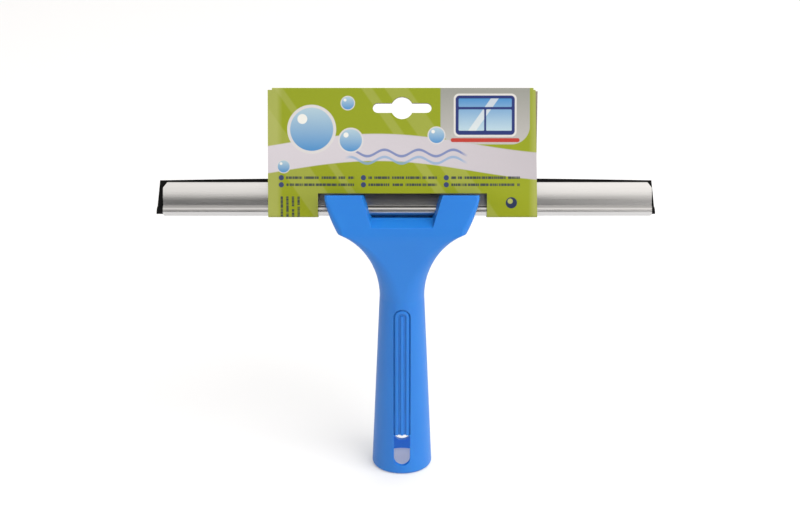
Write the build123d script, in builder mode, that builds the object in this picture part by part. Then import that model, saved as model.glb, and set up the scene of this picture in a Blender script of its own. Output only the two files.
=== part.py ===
from build123d import *
from math import acos, cos, hypot, radians, sin, sqrt, tan
import os

os.makedirs("parts", exist_ok=True)

# A window squeegee that stands on the open end of its handle, with the blade up.
# Millimetres, +Z up along the handle, +X along the blade, front faces -Y.
# The origin is the middle of the pole socket's mouth, on the floor.

# ---------------------------------------------------------------- driving dimensions

# Handle: a hollow, slightly conical grip that flares into a two-armed fork
socket_wall = 2.5         # of the pole socket, at the floor
neck_radius = 11.4        # outside, at the narrowest place
grip_flat = 0.3           # half width of the small flats between the grip's round corners
rim_round = 1.4           # rounding of the outside edge that stands on the floor
flare_spread = 32.0       # the flare's concave side is part of an ellipse: its half axis outwards
flare_rise = 38.8         # and upwards
flare_half_width = 31.0   # where the flare meets the arms
flare_drop = 6.63         # that place lies this far under the channel's underside
flare_corner = 5.0        # rounding of the long edges there
arm_half_width = 38.5     # over the outside of the arms, at their tops
arm_corner = 1.8          # rounding of the arms' long edges there
arm_rise = 16.7           # and this far above the corner where the flare meets them
arm_bow = 0.7             # the sides between bow outwards by this much
face_round = 20.0         # rounding where the upright face of the flare starts to lean back
corner_rise = 0.8         # the corner itself is broken by this much upwards
corner_run = 1.3          # and outwards

# Head plane: it leans back from the handle's axis; b runs backwards across it, w up along it
lean = 20.0
head_height = 138.4       # underside of the channel above the floor
head_offset = 1.6         # middle of the channel's tube behind the handle's axis
arm_front = 10.5          # face of the arms in front of the tube's middle
arm_back = 9.8            # back of the arms behind the tube's middle
front_jaw_height = 10.3   # top of the arms above the channel's underside
back_jaw_height = 8.6
bridge_height = 4.0       # wall that joins the two arms behind the tube
gap_bottom_width = 30.6   # space between the arms, at the sill's front edge
gap_top_width = 40.4      # and at the top of the arms
gap_draft = 9.0           # degrees
sill_drop = 5.85          # the sill between the arms slopes down to the front by this much
sill_gap = 0.9            # and lies this far under the channel

# Pole socket and hang slot
pole_radius = 13.0        # plain end of a 26 mm pole
pole_clearance = 0.1
pole_stop = 1.2           # shoulder that the pole's end meets, level with the hang slot's top
core_wall = 2.8           # wall of the hollow above the shoulder, at its far end
core_drop = 10.0          # that hollow ends this far under the neck
slot_width = 8.3
slot_bottom = 4.8
slot_top = 22.4
slot_round = 1.2          # corners of the slot's flat top

# Grip panel: an arch of three ribs in a shallow recess down the front
panel_width = 8.7
panel_drop = 3.5          # its top lies this far under the neck
panel_depth = 0.8         # its floor follows the grip's cone
rib_width = 1.5
rib_pitch = 2.8
rib_round = 0.3           # rounding of the ribs' edges

# Pockets that core out the back of the flare, with upright webs between them
pocket_skin = 3.2         # left in front of the pockets and beside them
pocket_lift = 4.0         # the pockets' floor above the neck
pocket_roof_drop = 6.5    # the pockets' roof below the channel's underside
pocket_round = 1.0
web_width = 2.2
web_pitch = 9.0

# Channel: an extruded tube with a crowned plate standing on it
channel_shift = 2.7       # where the channel sits along its jaws, as supplied
tube_radius = 2.75
tube_wall = 0.8
plate_front = 0.9         # plate's face in front of the tube's middle, top and foot
plate_thickness = 0.9
plate_crown = 0.7         # the plate bows forward between them by this much
plate_height = 16.9       # over the whole channel
plate_edge_round = 0.3
groove_height = 3.05      # fine groove along the tube's face
groove_radius = 0.3
end_cut_width = 2.2       # corners cut off the plate's two ends
end_cut_height = 2.8
end_foot_round = 1.2      # rounding of the tube's lower corner at both ends

# Rubber blade
blade_length = 250.0      # along the bead
blade_end_slope = 1.9     # the lip is shorter than the bead by this much at each end
blade_overhang = 2.7      # and so is the channel, by this much
blade_shift = 1.9         # where the blade sits along the channel, as supplied
blade_height = 19.0       # tip of the lip above the channel's underside, at mid length
lip_crown = 1.2           # the lip is lower by this much at both ends
stem_thickness = 1.4
bar_thickness = 2.8
lip_thickness = 2.2
lip_height = 3.6          # the bar narrows to the lip over this height
fin_height = 10.2         # foot of the wiping fin above the channel's underside
fin_rise = 2.4
fin_reach = 2.0
fin_thickness = 0.9       # at its free edge, measured across the slope
fin_root = 1.45           # and where it leaves the bar

# Hang card: a printed sleeve folded round the head, with a window for the fork
card_width = 133.8
card_skew = 1.1           # the front panel's right edge runs in by this much towards the top
card_height = 63.8        # above the channel's underside
card_thickness = 0.4
card_spine = 1.1          # outside width of the double fold at the top
card_bend = 0.8
window_width = 83.8
window_height = 11.1
hook_slot_length = 29.2
hook_slot_width = 4.9
hook_eye_radius = 5.55
hook_height = 53.6
spine_notch_width = 2.1
spine_notch_height = 1.2

# Fits
bead_clearance = 0.1      # bead in the tube, radial
blade_clearance = 0.3     # rubber beside the plate and the slot's edges
jaw_clearance = 0.2       # channel in the handle's jaws
card_clearance = 0.3      # card round the head

# ---------------------------------------------------------------- what follows from them

socket_radius = pole_radius + pole_clearance
socket_depth = slot_top
base_radius = socket_radius + socket_wall
flare_angle = acos(1 - (flare_half_width - neck_radius) / flare_spread)
flare_top = head_height - flare_drop
neck_height = flare_top - flare_rise * sin(flare_angle)
face_turn = head_height + (arm_front / cos(radians(lean)) - neck_radius - head_offset) / tan(radians(lean))
channel_length = blade_length - 2 * blade_overhang
bore_radius = tube_radius - tube_wall
bead_radius = bore_radius - bead_clearance
plate_back = -plate_front + plate_thickness
stem_front = plate_back + blade_clearance
stem_back = stem_front + stem_thickness
bar_front = plate_back + blade_clearance
bar_back = bar_front + bar_thickness
bar_bottom = 2 * tube_radius + blade_clearance

# In section: x is b, backwards across the head plane, and y is w, up along it.
head_section = Plane(
    origin=(0, head_offset, head_height),
    x_dir=(0, cos(radians(lean)), -sin(radians(lean))),
    z_dir=(1, 0, 0),
)
# Seen from the front: x is X and y is w.
head_front = Plane(
    origin=(0, head_offset, head_height),
    x_dir=(1, 0, 0),
    z_dir=(0, -cos(radians(lean)), sin(radians(lean))),
)


def lean_y(z, b):
    """Y at height z of the plane that is b behind the tube's middle."""
    return head_offset + (z - head_height) * tan(radians(lean)) + b / cos(radians(lean))


# ---------------------------------------------------------------- channel

with BuildPart() as channel:
    with BuildSketch(head_section.offset(channel_shift)):
        with Locations((0, tube_radius)):
            Circle(tube_radius)
        plate_foot = 2 * tube_radius - tube_wall / 2
        plate_middle = (plate_foot + plate_height) / 2
        with BuildLine():
            ThreePointArc(
                (-plate_front, plate_foot),
                (-plate_front - plate_crown, plate_middle),
                (-plate_front, plate_height),
            )
            Line((-plate_front, plate_height), (plate_back, plate_height))
            ThreePointArc(
                (plate_back, plate_height),
                (plate_back - plate_crown, plate_middle),
                (plate_back, plate_foot),
            )
            Line((plate_back, plate_foot), (-plate_front, plate_foot))
        make_face()
        with Locations((0, tube_radius)):
            Circle(bore_radius, mode=Mode.SUBTRACT)
        # The slot that the blade's stem comes out of, just behind the plate
        slot_back = stem_back + blade_clearance
        with Locations(((plate_back + slot_back) / 2, 2 * tube_radius)):
            Rectangle(slot_back - plate_back, 2 * tube_radius, mode=Mode.SUBTRACT)
        with Locations((-tube_radius, groove_height)):
            Circle(groove_radius, mode=Mode.SUBTRACT)
        top_corners = vertices().group_by(Axis.Y)[-1]
        fillet(top_corners, radius=plate_edge_round)
    extrude(amount=channel_length / 2, both=True)
    # Both ends, seen from the front: the plate's corners and the tube's are cut off
    end = channel_length / 2
    with BuildSketch(head_front):
        with Locations((channel_shift, 0)):
            Polygon(
                (-end, 0),
                (end, 0),
                (end, plate_height - end_cut_height),
                (end - end_cut_width, plate_height),
                (-end + end_cut_width, plate_height),
                (-end, plate_height - end_cut_height),
                align=None,
            )
        fillet(vertices().group_by(Axis.Y)[0], radius=end_foot_round)
    extrude(amount=2 * tube_radius, both=True, mode=Mode.INTERSECT)
channel.part.label = "channel"
export_step(channel.part, "parts/channel.step")

# ---------------------------------------------------------------- rubber blade

with BuildPart() as rubber_blade:
    with BuildSketch(head_section.offset(blade_shift)):
        with Locations((0, tube_radius)):
            Circle(bead_radius)
        with Locations(((stem_front + stem_back) / 2, (tube_radius + bar_bottom) / 2)):
            Rectangle(stem_thickness, bar_bottom - tube_radius)
        Polygon(
            (bar_front, bar_bottom),
            (bar_back, bar_bottom),
            (bar_back, fin_height),
            (bar_back + fin_reach, fin_height + fin_rise),
            (bar_back + fin_reach - fin_thickness / 2, fin_height + fin_rise + fin_thickness / 2),
            (bar_back, fin_height + fin_root),
            (bar_back, blade_height - lip_height),
            (bar_front + lip_thickness, blade_height),
            (bar_front, blade_height),
            align=None,
        )
    extrude(amount=blade_length / 2, both=True)
    # The ends are trimmed on a slope, so the lip is shorter than the bead
    end = blade_length / 2
    with BuildSketch(head_front):
        with BuildLine():
            left_tip = (blade_shift - end + blade_end_slope, blade_height - lip_crown)
            right_tip = (blade_shift + end - blade_end_slope, blade_height - lip_crown)
            Polyline(left_tip, (blade_shift - end, 0), (blade_shift + end, 0), right_tip)
            ThreePointArc(right_tip, (blade_shift, blade_height), left_tip)
        make_face()
    extrude(amount=4 * bar_thickness, both=True, mode=Mode.INTERSECT)
rubber_blade.part.label = "rubber_blade"
export_step(rubber_blade.part, "parts/rubber_blade.step")

# ---------------------------------------------------------------- hang card

card_front = -tube_radius - card_clearance
card_back = bar_back + fin_reach + card_clearance
fin_tip = fin_height + fin_rise
card_inner_top = card_height - card_thickness
card_inner_spine = card_spine - 2 * card_thickness

with BuildPart() as card_sleeve:
    with BuildSketch(head_section):
        with BuildSketch(mode=Mode.PRIVATE) as card_inside:
            Polygon(
                (card_front, -card_clearance),
                (tube_radius + card_clearance, -card_clearance),
                (card_back, fin_tip - fin_rise),
                (card_back, fin_tip + fin_rise),
                (card_front + card_inner_spine, card_inner_top),
                (card_front, card_inner_top),
                align=None,
            )
            bottom_corners = card_inside.vertices().group_by(Axis.Y)[0]
            fillet(bottom_corners, radius=card_bend)
        offset(card_inside.sketch, amount=card_thickness, kind=Kind.INTERSECTION)
        add(card_inside.sketch, mode=Mode.SUBTRACT)
    extrude(amount=card_width / 2, both=True)
    # Window for the fork, hook slot, and a notch at each end of the folded spine
    with BuildSketch(head_front):
        Rectangle(window_width, 2 * window_height)
        with Locations((0, hook_height)):
            SlotOverall(hook_slot_length, hook_slot_width)
            Circle(hook_eye_radius)
        with Locations((-card_width / 2, card_height), (card_width / 2, card_height)):
            Rectangle(2 * spine_notch_width, 2 * spine_notch_height)
    extrude(amount=4 * card_back, both=True, mode=Mode.SUBTRACT)
    # The front panel's right edge is cut out of square and shows the back panel behind it
    with BuildSketch(head_front.offset(-card_front + card_thickness)):
        edge = card_width / 2
        Polygon(
            (edge, 0),
            (edge + card_skew, card_height + card_skew),
            (edge - card_skew, card_height + card_skew),
            align=None,
        )
    extrude(amount=-1.5 * card_thickness, mode=Mode.SUBTRACT)
card_sleeve.part.label = "card_sleeve"
export_step(card_sleeve.part, "parts/card_sleeve.step")

# ---------------------------------------------------------------- handle

# The space between the arms: tapered sides, and a sill that slopes down to the front
gap_height = front_jaw_height + sill_drop
gap_side = (gap_top_width - gap_bottom_width) / 2 / gap_height
gap_over = 3.0
gap_depth = arm_front + gap_over

with BuildPart() as fork_gap:
    with BuildSketch(head_front.offset(arm_front)):
        low = gap_bottom_width / 2 - gap_side * gap_over
        high = gap_top_width / 2 + gap_side * gap_over
        Polygon(
            (-low, -sill_drop - gap_over),
            (low, -sill_drop - gap_over),
            (high, front_jaw_height + gap_over),
            (-high, front_jaw_height + gap_over),
            align=None,
        )
    extrude(amount=-gap_depth, taper=gap_draft)
    with BuildSketch(head_section):
        Polygon(
            (-arm_front - gap_over, -sill_drop),
            (-arm_front, -sill_drop),
            (-tube_radius, -sill_gap),
            (gap_over, -sill_gap),
            (gap_over, front_jaw_height + 2 * gap_over),
            (-arm_front - gap_over, front_jaw_height + 2 * gap_over),
            align=None,
        )
    extrude(amount=gap_top_width, both=True, mode=Mode.INTERSECT)

# The recess of the grip panel: an arched outline with the ribs left out, as deep as the
# cone inside it allows. The outer ribs join over the top; the middle one ends under them.
panel_radius = panel_width / 2
panel_arch = neck_height - panel_drop - panel_radius
panel_middle = (slot_top + panel_arch) / 2
panel_length = panel_arch - slot_top
arch_outer = rib_pitch + rib_width / 2
arch_inner = rib_pitch - rib_width / 2

with BuildPart() as panel_cutter:
    with BuildSketch(Plane.XZ):
        for radius, mode in (
            (panel_radius, Mode.ADD),
            (arch_outer, Mode.SUBTRACT),
            (arch_inner, Mode.ADD),
            (rib_width / 2, Mode.SUBTRACT),
        ):
            with Locations((0, panel_arch)):
                Circle(radius, mode=mode)
            with Locations((0, panel_middle)):
                Rectangle(2 * radius, panel_length, mode=mode)
    extrude(amount=2 * base_radius)
    with BuildSketch(Plane.XZ):
        floor_base = base_radius - panel_depth
        floor_neck = neck_radius - panel_depth
        Polygon((0, 0), (floor_base, 0), (floor_neck, neck_height), (0, neck_height), align=None)
    revolve(axis=Axis.Z, mode=Mode.SUBTRACT)


def on_rib_crest(edge):
    """True for an edge beside the outside of a rib, above the ribs' lower ends."""
    middle = edge @ 0.5
    from_middle = hypot(middle.X, max(0, middle.Z - panel_arch))
    from_axis = hypot(middle.X, middle.Y)
    outside = base_radius - (base_radius - neck_radius) * middle.Z / neck_height
    on_ribs = from_middle < (arch_outer + panel_radius) / 2 and middle.Z > slot_top + rib_width
    return on_ribs and middle.Y < 0 and from_axis > outside - panel_depth / 2


# Pockets in the back of the flare: their outer sides keep the flare's curve at an even skin
pocket_spread = flare_spread + pocket_skin
pocket_rise = flare_rise + pocket_skin
pocket_floor = neck_height + pocket_lift
pocket_top = head_height - pocket_roof_drop
pocket_reach = 2 * neck_radius + arm_back


def pocket_side(z):
    """Half width of the pockets at height z."""
    share = (z - neck_height) / pocket_rise
    return neck_radius + flare_spread - pocket_spread * sqrt(1 - share**2)


with BuildPart() as back_pockets:
    with BuildSketch(Plane.XZ):
        middle = (pocket_floor + pocket_top) / 2
        right = [(pocket_side(z), z) for z in (pocket_floor, middle, pocket_top)]
        left = [(-x, z) for x, z in reversed(right)]
        with BuildLine():
            ThreePointArc(*right)
            Line(right[-1], left[0])
            ThreePointArc(*left)
            Line(left[-1], right[0])
        make_face()
        with Locations(*[(x, middle) for x in (-web_pitch, 0, web_pitch)]):
            Rectangle(web_width, 2 * pocket_top, mode=Mode.SUBTRACT)
        fillet(vertices(), radius=pocket_round)
    extrude(amount=pocket_reach, both=True)
    with BuildSketch(Plane.YZ):
        with Locations((pocket_skin - neck_radius, pocket_floor)):
            Rectangle(pocket_reach, pocket_reach + arm_half_width, align=Align.MIN)
    extrude(amount=arm_half_width, both=True, mode=Mode.INTERSECT)

flare_steps = 8
arm_steps = 5


def flare_front(z):
    """The flare's face: upright above the grip, then leaning back with the head."""
    return max(-neck_radius, lean_y(z, -arm_front))


def flare_back(z):
    """The flare's back: a straight slope from the neck to the back of the arms."""
    share = (z - neck_height) / (flare_top - neck_height)
    return neck_radius + share * (lean_y(flare_top, arm_back) - neck_radius)


def level_section(z, width, corner, front, back):
    """A level section at height z: its half width, its corners' radius, and its front and back."""
    with BuildSketch(Plane.XY.offset(z), mode=Mode.PRIVATE) as section:
        with Locations((0, (front + back) / 2)):
            RectangleRounded(2 * width, back - front, corner)
    return section.sketch


def arm_section(z, width, corner):
    """The arms' level section at height z; its front and back lean back with the head."""
    return level_section(z, width, corner, lean_y(z, -arm_front), lean_y(z, arm_back))


with BuildPart() as handle:
    # Grip
    for height, radius in ((0, base_radius), (neck_height, neck_radius)):
        with BuildSketch(Plane.XY.offset(height)):
            RectangleRounded(2 * radius, 2 * radius, radius - grip_flat)
    loft(ruled=True)
    fillet(faces().sort_by(Axis.Z)[0].edges(), radius=rim_round)

    # Flare: rounded sections whose width follows the concave side
    for step in range(flare_steps + 1):
        angle = flare_angle * step / flare_steps
        height = neck_height + flare_rise * sin(angle)
        width = neck_radius + flare_spread * (1 - cos(angle))
        corner = neck_radius - grip_flat + (flare_corner - neck_radius + grip_flat) * step / flare_steps
        add(level_section(height, width, corner, flare_front(height), flare_back(height)))
    loft()

    # Arms, still joined in one block: a broken corner, bowed sides, then upright ones
    arm_bottom = flare_top + corner_rise
    arm_top = arm_bottom + arm_rise
    bottom_width = flare_half_width + corner_run
    front, back = flare_front(flare_top), flare_back(flare_top)
    add(level_section(flare_top, flare_half_width, flare_corner, front, back))
    add(arm_section(arm_bottom, bottom_width, flare_corner))
    loft(ruled=True)
    for step in range(arm_steps + 1):
        share = step / arm_steps
        width = bottom_width + share * (arm_half_width - bottom_width) + 4 * arm_bow * share * (1 - share)
        corner = flare_corner + share * (arm_corner - flare_corner)
        add(arm_section(arm_bottom + share * arm_rise, width, corner))
    loft()
    add(arm_section(arm_top, arm_half_width, arm_corner))
    add(arm_section(arm_top + arm_back, arm_half_width, arm_corner))
    loft(ruled=True)

    # The upright face turns back over a large radius
    turn_run = face_round * tan(radians(lean / 2))
    turn_end = face_turn + turn_run * cos(radians(lean))
    turn_low = (-neck_radius, face_turn - turn_run)
    turn_high = (lean_y(turn_end, -arm_front), turn_end)
    with BuildSketch(Plane.YZ):
        with BuildLine():
            TangentArc(turn_low, turn_high, tangent=(0, 1))
            Polyline(turn_high, (-arm_half_width, turn_high[1]), (-arm_half_width, turn_low[1]), turn_low)
        make_face()
    extrude(amount=2 * arm_half_width, both=True, mode=Mode.SUBTRACT)

    # Space for the channel and the blade, and everything above the jaws
    jaw_front = -plate_front - plate_crown - jaw_clearance
    jaw_back = bar_back + jaw_clearance
    above = 4 * front_jaw_height
    with BuildSketch(head_section):
        with Locations((0, tube_radius)):
            Circle(tube_radius + jaw_clearance)
        Polygon(
            (jaw_front, tube_radius),
            (tube_radius, tube_radius),
            (tube_radius, bar_bottom - jaw_clearance),
            (jaw_back, bar_bottom - jaw_clearance),
            (jaw_back, above),
            (jaw_front, above),
            align=None,
        )
        with Locations((-above + jaw_front, (front_jaw_height + above) / 2)):
            Rectangle(2 * above, above - front_jaw_height)
        with Locations((above + jaw_back, (back_jaw_height + above) / 2)):
            Rectangle(2 * above, above - back_jaw_height)
    extrude(amount=2 * arm_half_width, both=True, mode=Mode.SUBTRACT)

    # Space between the arms, in front of the channel and behind it
    add(fork_gap.part, mode=Mode.SUBTRACT)
    with BuildSketch(head_front):
        with Locations((0, bridge_height + above / 2)):
            Rectangle(gap_bottom_width, above)
    extrude(amount=-above, mode=Mode.SUBTRACT)

    # Pole socket: straight seat, shoulder, and the tapering hollow above it
    with BuildSketch(Plane.XZ):
        with BuildLine():
            Polyline(
                (0, 0),
                (socket_radius, 0),
                (socket_radius, socket_depth),
                (socket_radius - pole_stop, socket_depth),
                (neck_radius - core_wall, neck_height - core_drop),
                (0, neck_height - core_drop),
                (0, 0),
            )
        make_face()
    revolve(axis=Axis.Z, mode=Mode.SUBTRACT)

    # Hang slot through both walls of the socket
    slot_radius = slot_width / 2
    with BuildSketch(Plane.XZ):
        with Locations((0, slot_bottom + slot_radius)):
            Circle(slot_radius)
        with BuildLine():
            Polyline(
                (-slot_radius, slot_bottom + slot_radius),
                (slot_radius, slot_bottom + slot_radius),
                (slot_radius, slot_top),
                (-slot_radius, slot_top),
                close=True,
            )
        make_face()
        fillet(vertices().group_by(Axis.Y)[-1], radius=slot_round)
    extrude(amount=2 * base_radius, both=True, mode=Mode.SUBTRACT)

    # Grip panel: what the cutter leaves standing is the arch of ribs, with rounded edges
    add(panel_cutter.part, mode=Mode.SUBTRACT)
    fillet(edges().filter_by(on_rib_crest), radius=rib_round)

    add(back_pockets.part, mode=Mode.SUBTRACT)
handle.part.label = "handle"
export_step(handle.part, "parts/handle.step")
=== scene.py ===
# %% [markdown]
# # A window squeegee, finished around its construction model
#
# The construction model fixes where everything is and how large it is. This file gives
# each piece its surface. All lengths are in metres, +Z is up along the handle, +X runs
# along the blade and the front faces -Y.

# %% Load the frame
import math

import bmesh
import bpy
import numpy as np
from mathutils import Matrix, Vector
from mathutils.geometry import delaunay_2d_cdt


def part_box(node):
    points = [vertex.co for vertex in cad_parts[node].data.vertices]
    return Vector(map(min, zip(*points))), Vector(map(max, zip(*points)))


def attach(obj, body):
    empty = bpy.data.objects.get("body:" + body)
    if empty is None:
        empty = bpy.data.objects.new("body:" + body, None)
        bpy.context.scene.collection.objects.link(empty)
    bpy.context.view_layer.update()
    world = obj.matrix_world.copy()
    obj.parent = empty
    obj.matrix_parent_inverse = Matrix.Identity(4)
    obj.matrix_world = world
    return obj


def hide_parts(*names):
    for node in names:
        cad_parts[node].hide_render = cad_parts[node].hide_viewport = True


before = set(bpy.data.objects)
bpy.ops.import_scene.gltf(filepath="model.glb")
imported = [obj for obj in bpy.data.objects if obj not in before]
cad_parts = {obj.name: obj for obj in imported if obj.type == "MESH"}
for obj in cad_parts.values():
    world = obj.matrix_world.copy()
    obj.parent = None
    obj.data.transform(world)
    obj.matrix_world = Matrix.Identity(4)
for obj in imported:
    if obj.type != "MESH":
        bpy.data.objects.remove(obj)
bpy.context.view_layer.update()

# %% [markdown]
# ## Lengths and the head's own directions
#
# Lengths are written in millimetres times `mm`. The head (channel, blade and card) leans
# back from the handle, so places on it are easiest to say along the head itself: `up_way`
# climbs it and `back_way` goes through it. The channel's lowest and foremost points are a
# tube's, which gives the head's foot without any fitting.

# %% Directions and foot of the head
mm = 0.001
head_lean = math.radians(20.0)
tube_radius = 2.75 * mm
back_way = np.array([0, math.cos(head_lean), -math.sin(head_lean)])
up_way = np.array([0, math.sin(head_lean), math.cos(head_lean)])
channel_low = np.array(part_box("channel")[0])
card_low, card_high = (np.array(corner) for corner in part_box("card_sleeve"))
tube_middle = np.array([0, channel_low[1] + tube_radius, channel_low[2] + tube_radius])
head_foot = tube_middle - tube_radius * up_way
print("head starts at", np.round(head_foot / mm, 2), "mm")

# %% [markdown]
# ## Two small helpers
#
# A material is a tree of nodes. Every material here is built with one function that adds
# a node, sets its properties and fills or links its inputs. Colours are written as the
# hex values a painter would pick on screen; shaders want linear light, so one function
# turns them round.


# %% Helpers for materials
def paint(hex_colour):
    """sRGB hex, such as "#3c82d6", as the linear RGBA that shaders work in."""
    parts = [int(hex_colour[i : i + 2], 16) / 255 for i in (1, 3, 5)]
    linear = [c / 12.92 if c <= 0.04045 else ((c + 0.055) / 1.055) ** 2.4 for c in parts]
    return (*linear, 1.0)


def add(tree, kind, links=None, **settings):
    """Adds one node: settings are its properties, links gives inputs a value or an output."""
    made = tree.nodes.new(kind)
    for name, value in settings.items():
        setattr(made, name, value)
    for name, value in (links or {}).items():
        if isinstance(value, bpy.types.NodeSocket):
            tree.links.new(value, made.inputs[name])
        else:
            made.inputs[name].default_value = value
    return made


def new_finish(name):
    """An empty material with its tree and its main shader."""
    made = bpy.data.materials.new(name)
    made.use_nodes = True
    return made, made.node_tree, made.node_tree.nodes["Principled BSDF"]


def coat(node, finish):
    """Gives a CAD piece its finish; the mesh itself stays as it is."""
    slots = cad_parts[node].data.materials
    slots.clear()
    slots.append(finish)


print("half grey, #808080, is", round(paint("#808080")[0], 3), "in linear light")

# %% [markdown]
# ## Handle: moulded polypropylene
#
# The handle is injection moulded polypropylene, coloured through. The mould was spark
# eroded, so the skin has a very fine even grain: highlights are broad and soft, and
# edges seen at a glancing angle go pale. The plastic also shrinks as it cools, which
# leaves the large faces very slightly wavy.
#
# Two things come from how thin it is. Light enters it and comes out a little further on,
# blue further than red, so grooves look soft: that is the subsurface part of the shader.
# And the socket's wall lets some light into the socket, which shows through the hang
# slot. A few bounces of light can't give that, so the bore's own surface glows faintly.
# The small radius of every moulded edge is a Bevel node, which bends the normals there.

# %% Painted glow for the light that the socket's wall lets through
socket_radius, socket_depth = 13.1 * mm, 22.4 * mm
light_through_wall = "#1f4a86"


def socket_light(tree, place):
    """1 on the bore's surface, found by its distance from the axis, and fading out above it."""
    across = add(tree, "ShaderNodeVectorMath", {0: place, 1: (1, 1, 0)}, operation="MULTIPLY")
    radius = add(tree, "ShaderNodeVectorMath", {0: across.outputs["Vector"]}, operation="LENGTH")
    bore = add(
        tree,
        "ShaderNodeMapRange",
        {"Value": radius.outputs["Value"],
         "From Min": socket_radius + 0.6 * mm, "From Max": socket_radius + 0.2 * mm},
    )
    height = add(tree, "ShaderNodeSeparateXYZ", {"Vector": place})
    low_down = add(
        tree,
        "ShaderNodeMapRange",
        {"Value": height.outputs["Z"], "From Min": 1.6 * socket_depth, "From Max": socket_depth},
    )
    return add(
        tree,
        "ShaderNodeMath",
        {0: bore.outputs["Result"], 1: low_down.outputs["Result"]},
        operation="MULTIPLY",
    ).outputs["Value"]


print("the bore glows up to", round(1.6 * socket_depth / mm, 1), "mm")

# %% Moulded polypropylene
edge_radius = 0.5 * mm
sink_size, sink_relief = 22 * mm, 0.5 * mm
# Real grain is about 0.1 mm, too fine to show, so it is drawn five times as coarse
grain_size, grain_relief = 0.5 * mm, 0.03 * mm
plastic_light, plastic_dark = "#1672c4", "#106abd"


def moulded_polypropylene():
    """Blue plastic with a fine spark-eroded grain and a faint sink waviness."""
    made, tree, shader = new_finish("moulded_polypropylene")
    place = add(tree, "ShaderNodeTexCoord").outputs["Object"]
    sink = add(
        tree, "ShaderNodeTexNoise", {"Vector": place, "Scale": 1 / sink_size, "Detail": 1.0}
    )
    tint = add(
        tree,
        "ShaderNodeMix",
        {"Factor": sink.outputs["Fac"], 6: paint(plastic_dark), 7: paint(plastic_light)},
        data_type="RGBA",
    )
    grain = add(
        tree, "ShaderNodeTexNoise", {"Vector": place, "Scale": 1 / grain_size, "Detail": 2.0}
    )
    rough = add(
        tree,
        "ShaderNodeMapRange",
        {"Value": grain.outputs["Fac"], "To Min": 0.40, "To Max": 0.50},
    )
    rounded = add(tree, "ShaderNodeBevel", {"Radius": edge_radius}, samples=6)
    wavy = add(
        tree,
        "ShaderNodeBump",
        {"Height": sink.outputs["Fac"], "Normal": rounded.outputs["Normal"],
         "Strength": 0.15, "Distance": sink_relief},
    )
    skin = add(
        tree,
        "ShaderNodeBump",
        {"Height": grain.outputs["Fac"], "Normal": wavy.outputs["Normal"],
         "Strength": 0.25, "Distance": grain_relief},
    )
    tree.links.new(tint.outputs[2], shader.inputs["Base Color"])
    tree.links.new(rough.outputs["Result"], shader.inputs["Roughness"])
    tree.links.new(skin.outputs["Normal"], shader.inputs["Normal"])
    # Painted light: the bore glows blue where light through the thin wall would reach it
    tree.links.new(socket_light(tree, place), shader.inputs["Emission Strength"])
    shader.inputs["Emission Color"].default_value = paint(light_through_wall)
    shader.inputs["IOR"].default_value = 1.49
    shader.inputs["Subsurface Weight"].default_value = 0.3
    shader.inputs["Subsurface Radius"].default_value = (0.2, 0.5, 1.0)
    shader.inputs["Subsurface Scale"].default_value = 3 * mm
    return made


coat("handle", moulded_polypropylene())
print("handle finished: grain", round(grain_size / mm, 2), "mm")

# %% [markdown]
# ## Channel: anodised aluminium
#
# The channel is an aluminium extrusion. The die leaves fine lines along its length, and
# the matt anodic film spreads the light across them. So the pattern is stretched a
# hundredfold along the length, and it varies the roughness and the relief. Real lines
# are a few hundredths of a millimetre apart, and these are as coarse as it takes to show.


# %% Anodised aluminium
draw_line, line_stretch, line_relief = 0.35 * mm, 100, 0.02 * mm
metal_light, metal_dark = "#d0cfce", "#c5c4c4"


def anodised_aluminium():
    """Satin silver metal with fine draw lines along X."""
    made, tree, shader = new_finish("anodised_aluminium")
    place = add(tree, "ShaderNodeTexCoord").outputs["Object"]
    drawn = add(
        tree, "ShaderNodeMapping", {"Vector": place, "Scale": (1 / line_stretch, 1.0, 1.0)}
    )
    lines = add(
        tree,
        "ShaderNodeTexNoise",
        {"Vector": drawn.outputs["Vector"], "Scale": 1 / draw_line, "Detail": 3.0},
    )
    tone = add(
        tree,
        "ShaderNodeMix",
        {"Factor": lines.outputs["Fac"], 6: paint(metal_dark), 7: paint(metal_light)},
        data_type="RGBA",
    )
    rough = add(
        tree,
        "ShaderNodeMapRange",
        {"Value": lines.outputs["Fac"], "To Min": 0.24, "To Max": 0.34},
    )
    relief = add(
        tree,
        "ShaderNodeBump",
        {"Height": lines.outputs["Fac"], "Strength": 0.3, "Distance": line_relief},
    )
    tree.links.new(tone.outputs[2], shader.inputs["Base Color"])
    tree.links.new(rough.outputs["Result"], shader.inputs["Roughness"])
    tree.links.new(relief.outputs["Normal"], shader.inputs["Normal"])
    shader.inputs["Metallic"].default_value = 1.0
    return made


coat("channel", anodised_aluminium())
print("channel finished: lines", round(draw_line / mm, 2), "mm apart")

# %% [markdown]
# ## Blade: extruded rubber
#
# The blade is black EPDM rubber, extruded and then dusted so that it doesn't stick. It
# reflects little; what shows is a soft grey bloom in faint lines along its length, which
# are again drawn coarser than real ones, and the shine along its edges.


# %% Blade rubber
rubber_line, rubber_stretch, rubber_relief = 0.6 * mm, 33, 0.03 * mm
rubber_black, rubber_bloom = "#060606", "#0c0c0d"


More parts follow.
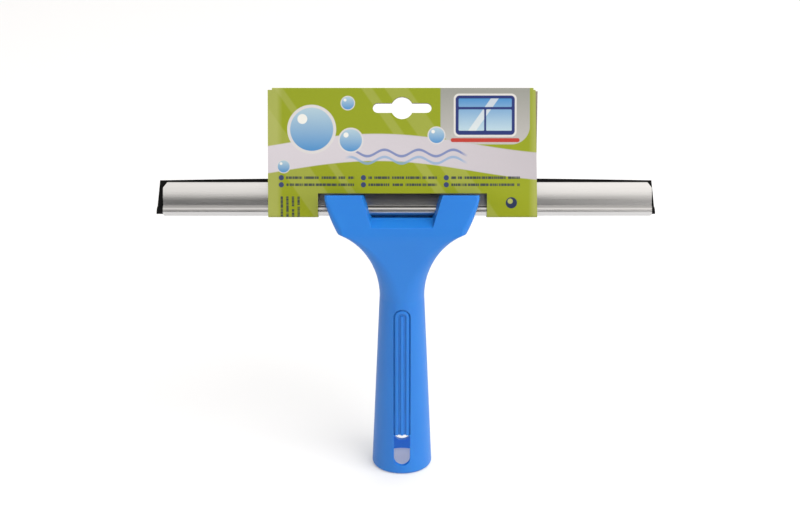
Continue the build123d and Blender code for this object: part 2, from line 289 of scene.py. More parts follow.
def blade_rubber():
    """Black rubber with faint lines along its length and a grey bloom."""
    made, tree, shader = new_finish("extruded_rubber")
    place = add(tree, "ShaderNodeTexCoord").outputs["Object"]
    drawn = add(
        tree, "ShaderNodeMapping", {"Vector": place, "Scale": (1 / rubber_stretch, 1.0, 1.0)}
    )
    lines = add(
        tree,
        "ShaderNodeTexNoise",
        {"Vector": drawn.outputs["Vector"], "Scale": 1 / rubber_line, "Detail": 2.0},
    )
    bloom = add(
        tree,
        "ShaderNodeMix",
        {"Factor": lines.outputs["Fac"], 6: paint(rubber_black), 7: paint(rubber_bloom)},
        data_type="RGBA",
    )
    relief = add(
        tree,
        "ShaderNodeBump",
        {"Height": lines.outputs["Fac"], "Strength": 0.3, "Distance": rubber_relief},
    )
    tree.links.new(bloom.outputs[2], shader.inputs["Base Color"])
    tree.links.new(relief.outputs["Normal"], shader.inputs["Normal"])
    shader.inputs["Roughness"].default_value = 0.6
    shader.inputs["Specular IOR Level"].default_value = 0.1
    return made


coat("rubber_blade", blade_rubber())
print("blade finished: lines", round(rubber_line / mm, 2), "mm apart")

# %% [markdown]
# ## Hang card: the folded sheet
#
# The card is one sheet of coated board, creased and glued into a sleeve round the head. A
# box with thick walls would look wrong, because board keeps one thickness everywhere and
# shows a pale cut edge. So the sheet is first laid out flat with its openings cut, and
# every point is then carried onto the folded outline. The flat coordinates stay on it as
# a UV map, which is how the print follows the folds.
#
# The outline is the card's section: b is the depth behind the head's middle and w the
# height above its foot. It goes round the tube, up the front panel, over the double crease
# at the top, and down behind the blade's fin.

# %% The card's outline in section
card_gap = 0.3 * mm
board = 0.4 * mm
spine_width = 1.1 * mm
fin_depth, fin_top, fin_foot = 5.1 * mm, 15.0 * mm, 10.2 * mm
crease, soft_bend, bottom_bend = 0.35 * mm, 3 * mm, 1.2 * mm
same_place = 0.01 * mm

card_half = (card_high[0] - card_low[0]) / 2
skin = card_gap + board
front_b = -tube_radius - skin
card_top = (card_high[2] - head_foot[2] + front_b * math.sin(head_lean)) / math.cos(head_lean)


def folded_outline(corners, radii, steps=6):
    """Straight runs between corners (b, w), each corner replaced by an arc of its radius.

    The arc starts r tan(turn / 2) before the corner, and from there goes r sin(angle)
    along the run and r (1 - cos(angle)) across it, up to the whole turn.
    """
    points = [corners[0]]
    for before, corner, after, radius in zip(corners, corners[1:], corners[2:], radii):
        come = (corner - before) / np.linalg.norm(corner - before)
        leave = (after - corner) / np.linalg.norm(after - corner)
        turn = math.acos(come @ leave)
        across = (leave - come * (come @ leave)) / math.sin(turn)
        start = corner - come * radius * math.tan(turn / 2)
        angle = np.linspace(0, turn, steps)[:, None]
        points += list(start + radius * (np.sin(angle) * come + (1 - np.cos(angle)) * across))
    return np.array([*points, corners[-1]])


outline = folded_outline(
    np.array([
        (0, -skin),
        (front_b, -skin),
        (front_b, card_top),
        (front_b + spine_width, card_top),
        (fin_depth + skin, fin_top),
        (fin_depth + skin, fin_foot),
        (tube_radius + skin, -skin),
        (0, -skin),
    ]),
    [bottom_bend, crease, crease, soft_bend, soft_bend, bottom_bend],
)
steps_between = np.linalg.norm(np.diff(outline, axis=0), axis=1)
flat = np.concatenate([[0], np.cumsum(steps_between)])
top = int(np.argmax(outline[:, 1] > card_top - same_place))
flat += card_top - flat[top]
print("the sheet is", round((flat[-1] - flat[0]) / mm, 1), "mm round the head")

# %% [markdown]
# ## Hang card: openings
#
# Along the flat sheet, v is chosen so that on the front panel it equals the height above
# the head's foot. Openings that go through both panels are die cut at one height, so the
# back panel's copy is looked up on the outline. The slot is for a shop's hook, the window
# makes room for the handle's two arms, and the notches let the double crease fold flat.

# %% Openings in the flat sheet
window_half, window_height = 41.9 * mm, 11.1 * mm
slot_half, slot_radius, eye_radius, slot_height = 14.6 * mm, 2.45 * mm, 5.55 * mm, 53.6 * mm
notch_width, notch_height = 2.1 * mm, 1.2 * mm
card_skew = 1.1 * mm
behind = slice(int(np.argmax(flat > card_top + spine_width / 2)), None)  # past the top crease


def on_back(height):
    """v of the back panel at that height: its outline comes down as v goes up."""
    return np.interp(-np.asarray(height), -outline[behind, 1], flat[behind])


def hang_opening(steps=10):
    """A slot with round ends and a round eye in its middle, anticlockwise from the right.

    The eye's circle is used where it stands out past the slot's straight sides.
    """
    end = np.linspace(-math.pi / 2, math.pi / 2, steps)
    right = np.c_[slot_half - slot_radius + slot_radius * np.cos(end), slot_radius * np.sin(end)]
    reach = math.asin(slot_radius / eye_radius)
    arch = np.linspace(reach, math.pi - reach, 2 * steps)
    eye = eye_radius * np.c_[np.cos(arch), np.sin(arch)]
    half = np.concatenate([right, eye])
    return np.concatenate([half, -half])


def sheet_loops():
    """The sheet's outline with its window and notches, and the two hang openings.

    The front panel's right edge is cut a little askew, by card_skew at its top.
    """
    low, high = flat[0], flat[-1]
    fold_low, fold_high = card_top - notch_height, card_top + spine_width + notch_height
    skewed = card_half - card_skew * (1 - notch_height / card_top)
    half_sheet = [
        (window_half, low),
        (card_half, low),
        (card_half, 0),
        (skewed, fold_low),
        (card_half - notch_width, fold_low),
        (card_half - notch_width, fold_high),
        (card_half, fold_high),
        (card_half, high),
        (window_half, high),
        (window_half, on_back(window_height)),
    ]
    other_half = [(-card_half if x == skewed else -x, v) for x, v in half_sheet]
    window_edge = [(-window_half, window_height), (window_half, window_height)]
    rim = half_sheet + other_half[::-1] + window_edge
    front_slot = hang_opening() + (0, slot_height)
    back_slot = hang_opening()
    back_slot = np.c_[back_slot[:, 0], on_back(back_slot[:, 1] + slot_height)][::-1]
    return np.array(rim), front_slot, back_slot


rim, *slots = sheet_loops()
print("openings", 1 + len(slots), "and rim points", len(rim))

# %% [markdown]
# ## Hang card: from the flat sheet to a mesh
#
# A flat shape with openings could be cut with booleans, but that gives long thin faces
# that fold badly. A constrained triangulation takes the outline, the openings and a grid
# of loose points at once: it keeps every cut edge sharp, and its grid points let the sheet
# bend. Every loop also gets a point wherever it crosses a line of the grid, so that the cut
# edges bend where the sheet does.

# %% Points along the cut edges
row_step, column_count = 3 * mm, 46


def inside(points, loop):
    """Whether each point lies inside the loop: the parity of edges crossed to its right."""
    x, y = points[:, :1], points[:, 1:]
    x0, y0 = loop.T
    x1, y1 = np.roll(loop, -1, axis=0).T
    with np.errstate(divide="ignore", invalid="ignore"):
        cross = x0 + (y - y0) * (x1 - x0) / (y1 - y0)
    return (((y0 > y) != (y1 > y)) & (x < cross)).sum(axis=1) % 2 == 1


def follow(loop, rows, columns):
    """The loop with a point added wherever it crosses a line of the grid."""
    points = []
    for start, end in zip(loop, np.roll(loop, -1, axis=0)):
        shares = [0.0]
        for axis, lines in enumerate((columns, rows)):
            span = end[axis] - start[axis]
            if abs(span) > same_place:
                crossed = (lines - start[axis]) / span
                shares += [share for share in crossed if 0.001 < share < 0.999]
        points += [start + share * (end - start) for share in sorted(set(shares))]
    return np.array(points)


rows = np.unique(np.concatenate([flat, np.arange(flat[0], flat[-1], row_step)]).round(6))[1:-1]
columns = np.linspace(-card_half, card_half, column_count)[1:-1]
loops = [follow(loop, rows, columns) for loop in (rim, *slots)]
print("points along the cut edges", sum(len(loop) for loop in loops))

# %% Triangles of the flat sheet
nearest = 1e-7  # points closer than this count as one


def triangulate(loops, rows, columns):
    """Triangles of the area inside the first loop and outside the others."""
    grid = np.array(np.meshgrid(columns, rows)).reshape(2, -1).T
    keep = inside(grid, loops[0])
    for hole in loops[1:]:
        keep &= ~inside(grid, hole)
    points = [Vector(p) for p in np.concatenate([*loops, grid[keep]])]
    edges, first = [], 0
    for loop in loops:
        edges += [(first + i, first + (i + 1) % len(loop)) for i in range(len(loop))]
        first += len(loop)
    verts, _, faces, *_ = delaunay_2d_cdt(points, edges, [], 0, nearest)
    verts, faces = np.array(verts), np.array(faces)
    middle = verts[faces].mean(axis=1)
    wanted = inside(middle, loops[0])
    for hole in loops[1:]:
        wanted &= ~inside(middle, hole)
    return verts, faces[wanted]


sheet, triangles = triangulate(loops, rows, columns)
print("flat sheet", len(sheet), "points", len(triangles), "triangles")

# %% [markdown]
# ## Hang card: folding
#
# Board is springy, so a sleeve never lies flat on what it wraps. Here the panels bow
# outwards a little, and the arms in the window push the front panel off the metal. The
# metal under the window's edge is so dark mainly through painted shade, a black flag
# hung close to the window further down. The sleeve isn't creased quite in its middle
# either: its right half is a little wider. One function adds all three up, with the
# folded outline as its start.
#
# Solidify gives the sheet its thickness, with a finish of its own for the inside and one
# for the cut edges. Edge Split then keeps the shading of the faces apart at cut edges.

# %% Fold the sheet
panel_bow, bow_start, bow_stop = 0.45 * mm, 16 * mm, card_top - 2 * mm
side_bow = 0.4  # share of the front panel's bow that is left at its sides
window_push, push_end = 3.6 * mm, 44 * mm
right_spread = 0.7 * mm


def fold(sheet):
    """Flat (x, v) to space: v is looked up on the outline, x runs along the head.

    The panels bow by the squared sine of the way from bow_start to bow_stop, and the front
    one by less towards its sides, down to side_bow as a cosine goes. The front panel is also
    pushed forward round its window, by a squared sine that peaks at the window's edge and is
    0 at the foot and at push_end, times a cosine across the card.
    """
    x, v = sheet.T
    x = x + right_spread * np.clip(x / card_half, 0, 1)
    b = np.interp(v, flat, outline[:, 0])
    w = np.interp(v, flat, outline[:, 1])
    along = np.clip((w - bow_start) / (bow_stop - bow_start), 0, 1)
    swell = panel_bow * np.sin(math.pi * along) ** 2
    up = np.interp(w, [0, window_height, push_end], [0, 0.5, 1])
    push = window_push * np.sin(math.pi * up) ** 2 * np.cos(0.5 * math.pi * x / card_half)
    middle, swing = (1 + side_bow) / 2, (1 - side_bow) / 2
    forward = swell * (middle + swing * np.cos(math.pi * x / card_half)) + push
    b = b + np.where(v < card_top, -forward, swell)
    level = np.c_[x, np.zeros((len(x), 2))]
    return level + b[:, None] * back_way + w[:, None] * up_way + head_foot


folded = fold(sheet)
print("folded to", np.round(np.ptp(folded, axis=0) / mm, 1), "mm")


# %% The folded card's mesh
def mesh_object(name, points, faces):
    """A mesh object from arrays, at the origin."""
    mesh = bpy.data.meshes.new(name)
    mesh.from_pydata(points.tolist(), [], faces.tolist())
    made = bpy.data.objects.new(name, mesh)
    bpy.context.scene.collection.objects.link(made)
    return made


card = mesh_object("folded_card", folded, triangles)
layer = card.data.uv_layers.new(name="flat_sheet")
corner = np.zeros(len(card.data.loops), dtype=int)
card.data.loops.foreach_get("vertex_index", corner)
layer.uv.foreach_set("vector", sheet[corner].ravel())

shell = bmesh.new()
shell.from_mesh(card.data)
loose = [point for point in shell.verts if not point.link_faces]
bmesh.ops.delete(shell, geom=loose, context="VERTS")
bmesh.ops.remove_doubles(shell, verts=shell.verts, dist=same_place)
shell.to_mesh(card.data)
shell.free()
card.data.shade_smooth()
print("folded card", len(card.data.vertices), "points")

# %% Thickness of the board
cut_angle = math.radians(40)
thickness = card.modifiers.new("board", "SOLIDIFY")
thickness.thickness = board
thickness.offset = -1
thickness.use_even_offset = True
thickness.material_offset = 1
thickness.material_offset_rim = 2
crisp = card.modifiers.new("cut_edges", "EDGE_SPLIT")
crisp.split_angle = cut_angle

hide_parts("card_sleeve")
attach(card, "card")
print("card faces", len(card.data.polygons))

# %% [markdown]
# ## Hang card: print
#
# The print is generic: a window, soap bubbles, a ribbon with two ripples, and rows of
# short bars where a shop card has its small text. Each motif is a mask, which is 1 inside
# a shape and 0 outside, worked out from the distance to the shape, and inks are laid over
# one another through these masks, as a printer lays down spot colours.


# %% Masks for printed shapes
edge_blur = 0.15  # soft edge of a printed shape, in millimetres on the sheet
endless = 400  # longer than the sheet either way, in millimetres


def round_mask(tree, place, x, y, radius, blur=edge_blur):
    """1 inside a circle: the distance from its middle, compared with its radius."""
    far = add(tree, "ShaderNodeVectorMath", {0: place, 1: (x, y, 0)}, operation="DISTANCE")
    return add(
        tree,
        "ShaderNodeMapRange",
        {"Value": far.outputs["Value"], "From Min": radius + blur, "From Max": radius - blur},
    ).outputs["Result"]


def block_mask(tree, place, x, y, width, height, corner, blur=edge_blur):
    """1 inside a rectangle with round corners.

    How far a point lies past the smaller rectangle of the corners' middles is compared
    with the corner's radius.
    """
    reach = (width / 2 - corner, height / 2 - corner, 1.0)
    centred = add(tree, "ShaderNodeVectorMath", {0: place, 1: (x, y, 0)}, operation="SUBTRACT")
    folded = add(tree, "ShaderNodeVectorMath", {0: centred.outputs["Vector"]}, operation="ABSOLUTE")
    past = add(
        tree, "ShaderNodeVectorMath", {0: folded.outputs["Vector"], 1: reach}, operation="SUBTRACT"
    )
    outer = add(
        tree, "ShaderNodeVectorMath", {0: past.outputs["Vector"], 1: (0, 0, 0)}, operation="MAXIMUM"
    )
    far = add(tree, "ShaderNodeVectorMath", {0: outer.outputs["Vector"]}, operation="LENGTH")
    return add(
        tree,
        "ShaderNodeMapRange",
        {"Value": far.outputs["Value"], "From Min": corner + blur, "From Max": corner - blur},
    ).outputs["Result"]


print("edges of the print blur over", 2 * edge_blur, "mm")


# %% Inks, and masks put together
def ink(tree, under, mask, colour, cover=1.0):
    """Lays a colour over what is printed already, where the mask is 1."""
    amount = add(tree, "ShaderNodeMath", {0: mask, 1: cover}, operation="MULTIPLY").outputs["Value"]
    value = colour if isinstance(colour, bpy.types.NodeSocket) else paint(colour)
    return add(
        tree, "ShaderNodeMix", {"Factor": amount, 6: under, 7: value}, data_type="RGBA"
    ).outputs[2]


def slant(tree, place, degrees):
    """The place turned about the sheet's zero point."""
    angle = (0, 0, math.radians(degrees))
    turned = add(tree, "ShaderNodeMapping", {"Vector": place, "Rotation": angle})
    return turned.outputs["Vector"]


def both(tree, one, other):
    """1 where both masks are."""
    return add(tree, "ShaderNodeMath", {0: one, 1: other}, operation="MULTIPLY").outputs["Value"]


print("inks take a colour or a blend of two")


# %% Waves and fades
def wave_mask(tree, place, level, swing, length, shift, width, blur=edge_blur):
    """1 along a sine wave: |y - level - swing sin(2 pi (x - shift) / length)| < width / 2."""
    parts = add(tree, "ShaderNodeSeparateXYZ", {"Vector": place})
    phase = add(
        tree,
        "ShaderNodeMapRange",
        {"Value": parts.outputs["X"], "From Min": shift, "From Max": shift + length,
         "To Max": 2 * math.pi},
        clamp=False,
    )
    rise = add(tree, "ShaderNodeMath", {0: phase.outputs["Result"]}, operation="SINE")
    line = add(
        tree,
        "ShaderNodeMath",
        {0: rise.outputs["Value"], 1: swing, 2: level},
        operation="MULTIPLY_ADD",
    )
    off = add(
        tree,
        "ShaderNodeMath",
        {0: parts.outputs["Y"], 1: line.outputs["Value"]},
        operation="SUBTRACT",
    )
    far = add(tree, "ShaderNodeMath", {0: off.outputs["Value"]}, operation="ABSOLUTE")
    return add(
        tree,
        "ShaderNodeMapRange",
        {"Value": far.outputs["Value"], "From Min": width / 2 + blur, "From Max": width / 2 - blur},
    ).outputs["Result"]


def fade(tree, place, axis, start, end, low, high):
    """A blend of two colours that goes from start to end along one axis of the sheet."""
    parts = add(tree, "ShaderNodeSeparateXYZ", {"Vector": place})
    share = add(
        tree,
        "ShaderNodeMapRange",
        {"Value": parts.outputs[axis], "From Min": start, "From Max": end},
    )
    return add(
        tree,
        "ShaderNodeMix",
        {"Factor": share.outputs["Result"], 6: paint(low), 7: paint(high)},
        data_type="RGBA",
    ).outputs[2]


print("masks are circles, blocks and waves, and a fade blends two inks")

# %% [markdown]
# ## Hang card: motifs
#
# Small text on a shop card is too small to read from a step away: it shows as dark rows
# that break up unevenly. So each row is a block, and a noise cuts it into pieces. The
# pictures are stacks of blocks and circles, from the largest to the smallest, as in a paper
# cut-out. All places are millimetres on the flat sheet: x from the middle, y from the foot.

# %% Small print
dot_ink, row_ink, row_cover = "#3c4a7c", "#2c3650", 0.9
spot_ink, spot_light = "#26345f", "#b9c06a"
text_columns, text_rows, flap_rows = (-42, -1, 40), (18.9, 15.4), (-60, -57.2, -54.4, -51.6)
row_height, row_corner = 1.3, 0.3


def words(tree, place, seed):
    """Bars of uneven length: a noise along the row, cut off sharply, with a finer one in it.

    The first noise gives words of about 2.2 mm with gaps, and the second gives letters of
    0.5 mm, which only thin the ink between them.
    """
    parts = add(tree, "ShaderNodeSeparateXYZ", {"Vector": place})
    along = add(tree, "ShaderNodeCombineXYZ", {"X": parts.outputs["X"], "Y": 10.0 * seed})
    cuts = []
    for size, low, high, least in ((2.2, 0.36, 0.40, 0.0), (0.5, 0.38, 0.46, 0.25)):
        noise = add(
            tree,
            "ShaderNodeTexNoise",
            {"Vector": along.outputs["Vector"], "Scale": 1 / size, "Detail": 0.0},
        )
        cut = add(
            tree,
            "ShaderNodeMapRange",
            {"Value": noise.outputs["Fac"], "From Min": low, "From Max": high, "To Min": least},
        )
        cuts.append(cut.outputs["Result"])
    return both(tree, *cuts)


def small_print(tree, place, shade):
    """Three columns of two rows with a dot each, and upright rows and a spot on the flaps."""
    for x in text_columns:
        for y in text_rows:
            shade = ink(tree, shade, round_mask(tree, place, x - 18.2, y, 1.3), dot_ink)
            row = block_mask(tree, place, x + 1.2, y, 34, row_height, row_corner)
            shade = ink(tree, shade, both(tree, row, words(tree, place, y)), row_ink, row_cover)
    turned = slant(tree, place, 90)
    for x in flap_rows:
        row = block_mask(tree, place, x, 4.4, 1.2, 10.4, row_corner)
        shade = ink(tree, shade, both(tree, row, words(tree, turned, x)), row_ink, row_cover)

    # A round spot with a lighter one in it, on the right flap
    shade = ink(tree, shade, round_mask(tree, place, 54, 6.4, 2.8), spot_ink)
    return ink(tree, shade, round_mask(tree, place, 53.4, 7.2, 1.3), spot_light)


print("small print in", dot_ink, "and", row_ink)

# %% Directions on the back
directions_height, directions_rows, directions_step = 31 * mm, 6, 4
directions_pale = "#e3deea"


def directions(tree, place, shade):
    """A pale panel on the back, with rows of bars for the directions that a card has there."""
    middle = float(on_back(directions_height)) / mm
    shade = ink(tree, shade, block_mask(tree, place, 0, middle, 92, 28, 3), directions_pale)
    for row in range(directions_rows):
        y = middle + directions_step * (row - (directions_rows - 1) / 2)
        bars = block_mask(tree, place, 0, y, 82, row_height, row_corner)
        shade = ink(tree, shade, both(tree, bars, words(tree, place, y)), row_ink, row_cover)
    return shade


print("directions in", directions_rows, "rows")

# %% Pictures
sky_blue, pale_blue, bubble_blue, frame_blue = "#3f93dc", "#cfe9fa", "#c3def0", "#22337f"
sash_white, rim_white, glint_white, sill_red = "#f1eff2", "#e9e6ec", "#ffffff", "#c93a2e"
panes = ((41, 56.2, 26.2, 4.2), (34.2, 47.6, 12.6, 10.6), (47.8, 47.6, 12.6, 10.6))
bubbles = ((-45, 43, 12.2), (-25.5, 37.5, 6.3), (-59, 24.5, 3.4), (-27, 56, 3.6), (17, 40, 4.4))


def window_picture(tree, place, shade):
    """A house window: dark frame, a wide light over two casements, a glint, a red sill."""
    shade = ink(tree, shade, block_mask(tree, place, 41, 50, 31, 21.4, 2.6), sash_white)
    shade = ink(tree, shade, block_mask(tree, place, 41, 50, 29.2, 19.6, 2.0), frame_blue)
    sky = fade(tree, place, "Y", 41, 59, pale_blue, sky_blue)
    glint = block_mask(tree, slant(tree, place, 35), 4, 0, 3.2, endless, 0.2)
    for x, y, width, height in panes:
        pane = block_mask(tree, place, x, y, width, height, 0.5)
        shade = ink(tree, shade, pane, sky)
        shade = ink(tree, shade, both(tree, pane, glint), glint_white, 0.6)
    return ink(tree, shade, block_mask(tree, place, 41, 37.6, 34, 2.0, 1.0), sill_red)


def soap_bubbles(tree, place, shade):
    """Bubbles with a pale rim, a blue inside that fades upwards, and a glint."""
    for x, y, radius in bubbles:
        shade = ink(tree, shade, round_mask(tree, place, x, y, radius), rim_white)
        inner = fade(tree, place, "Y", y - radius, y + radius, sky_blue, bubble_blue)
        shade = ink(tree, shade, round_mask(tree, place, x, y, 0.88 * radius), inner)
        glint = round_mask(tree, place, x - 0.38 * radius, y + 0.42 * radius, 0.2 * radius)
        shade = ink(tree, shade, glint, glint_white)
    return shade


print("pictures: one window and", len(bubbles), "bubbles")

# %% [markdown]
# ## Hang card: the printed side
#
# The card is offset printed on coated board and varnished. That gives flat spot colours
# with clean edges and a satin sheen in which the fibres underneath show as a faint
# unevenness. The inks are laid on in a printer's order: ground, slanting streaks, silver
# field, pale ribbon, pictures, and the small print last. The back has a plain panel with
# directions, since a card's back is for reading.


# %% Ground of the print
# The fourth colour is a pale green for the painted sheen at the card's two ends
olive_foot, olive_top, streak_green, painted_sheen_green = "#a2ae0e", "#9cab0c", "#c4c87c", "#d0d28e"
silver_low, silver_high = "#d3cedc", "#a8a7b2"
ribbon_left, ribbon_right = "#e6e0ee", "#d2ccd8"
streaks = ((-62, 7), (-30, 12), (-14, 3), (22, 4), (34, 9))  # place and width
# Painted sheen: pale strips at the card's side edges, where its coating catches the light
painted_sheen_ends = ((-65, 7), (66, 3))  # x and width
ripples = ((31.2, "#3467bd"), (27.6, "#86b2e4"))  # level and ink


def ground(tree, place):
    """Olive, slanting streaks, painted sheen at both ends, silver field, ribbon with two ripples.
    """
    shade = fade(tree, place, "Y", 0, 60, olive_foot, olive_top)
    leaning = slant(tree, place, -35)
    for x, width in streaks:
        streak = block_mask(tree, leaning, x, 0, width, endless, 0.2, blur=0.6)
        shade = ink(tree, shade, streak, streak_green, 0.42)

    # Painted sheen: both ends are made paler, where the coated board catches the light
    for x, width in painted_sheen_ends:
        painted_sheen = block_mask(tree, place, x, 30, width, endless, 1, blur=2.0)
        shade = ink(tree, shade, painted_sheen, painted_sheen_green, 0.5)

    # The silver field stops at the top crease, so the back panel stays plain there
    front = block_mask(tree, place, 0, 0, endless, 2 * card_top / mm, 0.1)
    field = both(tree, front, block_mask(tree, place, 41, 54, 44, 37, 9))
    shade = ink(tree, shade, field, fade(tree, place, "Y", 36, 62, silver_low, silver_high))

    ribbon = wave_mask(
        tree, place, level=29, swing=5.0, length=190, shift=-60, width=13.5, blur=0.25
    )
    shade = ink(tree, shade, ribbon, fade(tree, place, "X", -60, 60, ribbon_left, ribbon_right))
    stretch = block_mask(tree, place, 2, 29, 56, 14, 1, blur=2.5)
    for level, colour in ripples:
        ripple = wave_mask(tree, place, level, swing=1.6, length=17, shift=4, width=1.3)
        shade = ink(tree, shade, both(tree, ripple, stretch), colour)
    return shade


print("ground with", len(streaks), "streaks, up to", round(card_top / mm, 1), "mm in front")

# %% Printed side of the board
board_white = "#c8c7c1"
coat_fibre, coat_relief = 1.6, 0.03 * mm  # millimetres on the sheet, and metres


def printed_board():
    """Four-colour print on coated board: olive ground, silver ribbon, blue motifs."""
    made, tree, shader = new_finish("printed_coated_board")
    sheet_place = add(tree, "ShaderNodeUVMap", uv_map="flat_sheet").outputs["UV"]
    place = add(
        tree, "ShaderNodeVectorMath", {0: sheet_place, "Scale": 1 / mm}, operation="SCALE"
    ).outputs["Vector"]
    shade = ground(tree, place)
    for motif in (window_picture, soap_bubbles, small_print, directions):
        shade = motif(tree, place, shade)

    # Inks are transparent, so the board's own greyish white multiplies them
    paper = add(
        tree,
        "ShaderNodeMix",
        {"Factor": 1.0, 6: shade, 7: paint(board_white)},
        data_type="RGBA",
        blend_type="MULTIPLY",
    )
    fibres = add(
        tree, "ShaderNodeTexNoise", {"Vector": place, "Scale": 1 / coat_fibre, "Detail": 3.0}
    )
    relief = add(
        tree,
        "ShaderNodeBump",
        {"Height": fibres.outputs["Fac"], "Strength": 0.2, "Distance": coat_relief},
    )
    rough = add(
        tree,
        "ShaderNodeMapRange",
        {"Value": fibres.outputs["Fac"], "To Min": 0.36, "To Max": 0.44},
    )
    tree.links.new(paper.outputs[2], shader.inputs["Base Color"])
    tree.links.new(relief.outputs["Normal"], shader.inputs["Normal"])
    tree.links.new(rough.outputs["Result"], shader.inputs["Roughness"])
    shader.inputs["Specular IOR Level"].default_value = 0.3
    return made


print("printed side on board of", board_white)

# %% [markdown]
# ## Hang card: the inside and the cut edge
#
# Inside, the board is bare recycled fibre, a dull warm grey. Its cut edge is paler, since
# the blade of the die opens up clean fibre. Both are the same finish in two tones, and the
# noise in them is the length of the fibres.


# %% Inside and cut edge of the board
def plain_board(name, light, dark, grain):
    """Uncoated board: a warm grey tone with fibres of the given size."""
    made, tree, shader = new_finish(name)
    place = add(tree, "ShaderNodeTexCoord").outputs["Object"]
    fibres = add(tree, "ShaderNodeTexNoise", {"Vector": place, "Scale": 1 / grain, "Detail": 4.0})
    tone = add(
        tree,
        "ShaderNodeMix",
        {"Factor": fibres.outputs["Fac"], 6: paint(dark), 7: paint(light)},
        data_type="RGBA",
    )
    tree.links.new(tone.outputs[2], shader.inputs["Base Color"])
    shader.inputs["Roughness"].default_value = 0.8
    return made


for side in (
    printed_board(),
    plain_board("raw_grey_board", light="#8e8675", dark="#7a7262", grain=1.2 * mm),
    plain_board("cut_board_edge", light="#d6d4c2", dark="#c1bda6", grain=0.4 * mm),
):
    card.data.materials.append(side)
print("card has", len(card.data.materials), "finishes")

# %% [markdown]
# ## Table
#
# The squeegee stands on its own handle on a white table, as in a packshot studio. The
# table is opal acrylic, lit a little from below, which keeps it white right up to the
# shadows. It lies a hair under the handle, so that the two surfaces don't coincide.

# %% Table
floor_size, floor_drop = 6.0, 0.05 * mm
table_white, table_glow = "#c6c6c7", 0.24


def table_top():
    """White opal acrylic, lit a little from below."""
    made, _, shader = new_finish("opal_light_table")
    shader.inputs["Emission Color"].default_value = paint("#ffffff")
    shader.inputs["Emission Strength"].default_value = table_glow
    shader.inputs["Base Color"].default_value = paint(table_white)
    shader.inputs["Roughness"].default_value = 0.6
    shader.inputs["Specular IOR Level"].default_value = 0.2
    return made


half = floor_size / 2
corners = [(-half, -half), (half, -half), (half, half), (-half, half)]
points = np.array([(x, y, -floor_drop) for x, y in corners])
floor = mesh_object("floor", points, np.array([(0, 1, 2, 3)]))
floor.data.materials.append(table_top())
print("table", floor_size, "m wide")

# %% [markdown]
# ## Room
#
# Satin metal is only as good as what it has to reflect. The channel runs along X, so it
# shows the room as bands along its length, and a room lit like a tunnel along X sets
# those bands one by one: by the angle over from the front, whatever the way along. The
# right end is brighter than the left one, which gives the round handle its light side.

# %% Room
warm_white = (1.0, 0.975, 0.94)
tunnel = [(0, 0.8), (12, 1.0), (24, 1.6), (52, 1.6), (75, 0.8), (130, 0.8), (180, 1.1)]
left_end, right_end = 0.4, 1.4


def room(stops, left, right):
    """A room lit like a tunnel along the blade: stops are (degrees over from the front, grey).

    The angle over is atan2(z, -y): 0 is the horizon in front, 90 straight up and 180 the
    horizon behind. Left and right are factors on the strength towards either end.
    """
    world = bpy.data.worlds.new("room")
    world.use_nodes = True
    tree = world.node_tree
    way = add(tree, "ShaderNodeTexCoord").outputs["Generated"]
    parts = add(tree, "ShaderNodeSeparateXYZ", {"Vector": way}).outputs
    ahead = add(tree, "ShaderNodeMath", {0: parts["Y"], 1: -1.0}, operation="MULTIPLY")
    over = add(
        tree, "ShaderNodeMath", {0: parts["Z"], 1: ahead.outputs["Value"]}, operation="ARCTAN2"
    )
    share = add(
        tree,
        "ShaderNodeMapRange",
        {"Value": over.outputs["Value"], "From Min": 0.0, "From Max": math.pi},
    )
    ramp = add(tree, "ShaderNodeValToRGB", {"Fac": share.outputs["Result"]})
    ramp.color_ramp.interpolation = "EASE"
    marks = ramp.color_ramp.elements
    while len(marks) < len(stops):
        marks.new(1.0)
    for mark, (degrees, grey) in zip(marks, stops):
        mark.position = degrees / 180
        mark.color = (*(grey * part for part in warm_white), 1.0)
    side = add(
        tree,
        "ShaderNodeMapRange",
        {"Value": parts["X"], "From Min": -1.0, "From Max": 1.0, "To Min": left, "To Max": right},
    )
    background = tree.nodes["Background"].inputs
    tree.links.new(ramp.outputs["Color"], background["Color"])
    tree.links.new(side.outputs["Result"], background["Strength"])
    bpy.context.scene.world = world


room(tunnel, left_end, right_end)
print("room with", len(tunnel), "bands of light")

# %% [markdown]
# ## Softboxes
#
# A large softbox overhead, a little behind, makes the shadows soft, and a second one at
# the front right puts them to the back left. Neither is mirrored in the metal: there the
# room's bands do that work, and a lamp's square would cut across them.

# %% Softboxes
aim = Vector((-1 * mm, 0, 112 * mm))  # what the lamps and the camera point at


def softbox(name, azimuth, elevation, distance, size, power):
    """A square area lamp that way from the squeegee, facing it; azimuth 0 is the front."""
    lamp = bpy.data.lights.new(name, "AREA")
    lamp.size = size
    lamp.energy = power
    made = bpy.data.objects.new(name, lamp)
    side, up = math.radians(azimuth), math.radians(elevation)
    way = Vector((math.sin(side) * math.cos(up), -math.cos(side) * math.cos(up), math.sin(up)))
    made.location = aim + distance * way
    made.rotation_euler = way.to_track_quat("Z", "Y").to_euler()
    made.visible_glossy = False
    bpy.context.scene.collection.objects.link(made)
    print(name, "softbox", size, "m wide,", power, "W")


softbox("overhead", azimuth=165, elevation=68, distance=1.8, size=1.6, power=11)
softbox("key", azimuth=52, elevation=54, distance=1.5, size=1.1, power=17)
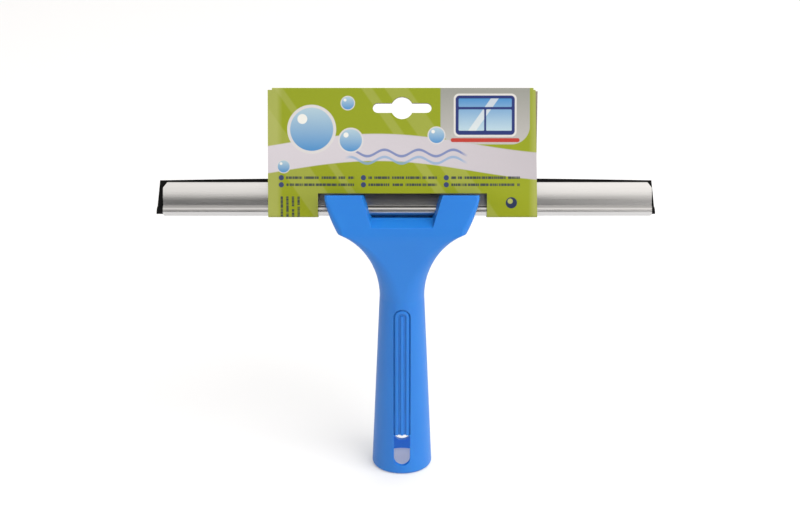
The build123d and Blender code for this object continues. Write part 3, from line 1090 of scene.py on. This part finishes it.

# %% [markdown]
# ## Flags
#
# Metal in an all-white room looks like white plastic. So black flags hang in front of it,
# and their reflections draw its dark bands. The far flag gives the band along the plate's
# foot, and it stops short of the plate's right end, which stays brighter. The near one is
# painted shade: it hangs close to the window of the card, where the metal is darkest, and
# stands in for the shade under the card there. Only shiny surfaces see them.


# %% Flags
def black_velvet():
    """Matt black cloth that hardly gives back any light."""
    made, _, shader = new_finish("black_velvet")
    shader.inputs["Base Color"].default_value = paint("#161616")
    shader.inputs["Roughness"].default_value = 1.0
    return made


velvet = black_velvet()


def flag(name, left, right, distance, low, high):
    """A cloth hung upright, distance in front of the handle's axis; low and high are heights."""
    points = np.array([(x, -distance, z) for z in (low, high) for x in (left, right)])
    made = mesh_object(name, points, np.array([(0, 1, 3, 2)]))
    made.data.materials.append(velvet)
    made.visible_camera = made.visible_diffuse = made.visible_shadow = False


# The near flag is painted shade for the metal in the card's window
shade_flag_low, shade_flag_high = head_foot[2] - 6 * mm, head_foot[2] + 60 * mm
flag("far_flag", left=-1200 * mm, right=250 * mm, distance=900 * mm, low=0, high=330 * mm)
flag("painted_shade_flag", left=-56 * mm, right=56 * mm, distance=60 * mm, low=shade_flag_low, high=shade_flag_high)
print("near flag from", round(shade_flag_low / mm), "to", round(shade_flag_high / mm), "mm up")

# %% [markdown]
# ## Camera
#
# The camera stands a little under a metre away and looks down by 23 degrees, level and
# straight at the front, with a fairly long lens. The Standard view transform keeps the
# white of the table white.

# %% Camera
camera_elevation = math.radians(23.0)
camera_distance = 913.8 * mm
focal_length, sensor_width = 81.2, 36.0  # millimetres, as on a lens
lens = bpy.data.cameras.new("camera")
lens.lens = focal_length
lens.sensor_width = sensor_width
lens.sensor_fit = "HORIZONTAL"
camera = bpy.data.objects.new("camera", lens)
camera.location = aim + camera_distance * Vector(
    (0, -math.cos(camera_elevation), math.sin(camera_elevation))
)
camera.rotation_euler = (math.pi / 2 - camera_elevation, 0, 0)
bpy.context.scene.collection.objects.link(camera)
bpy.context.scene.camera = camera
bpy.context.scene.view_settings.view_transform = "Standard"
print("camera", round(camera_distance / mm), "mm away with a", focal_length, "mm lens")
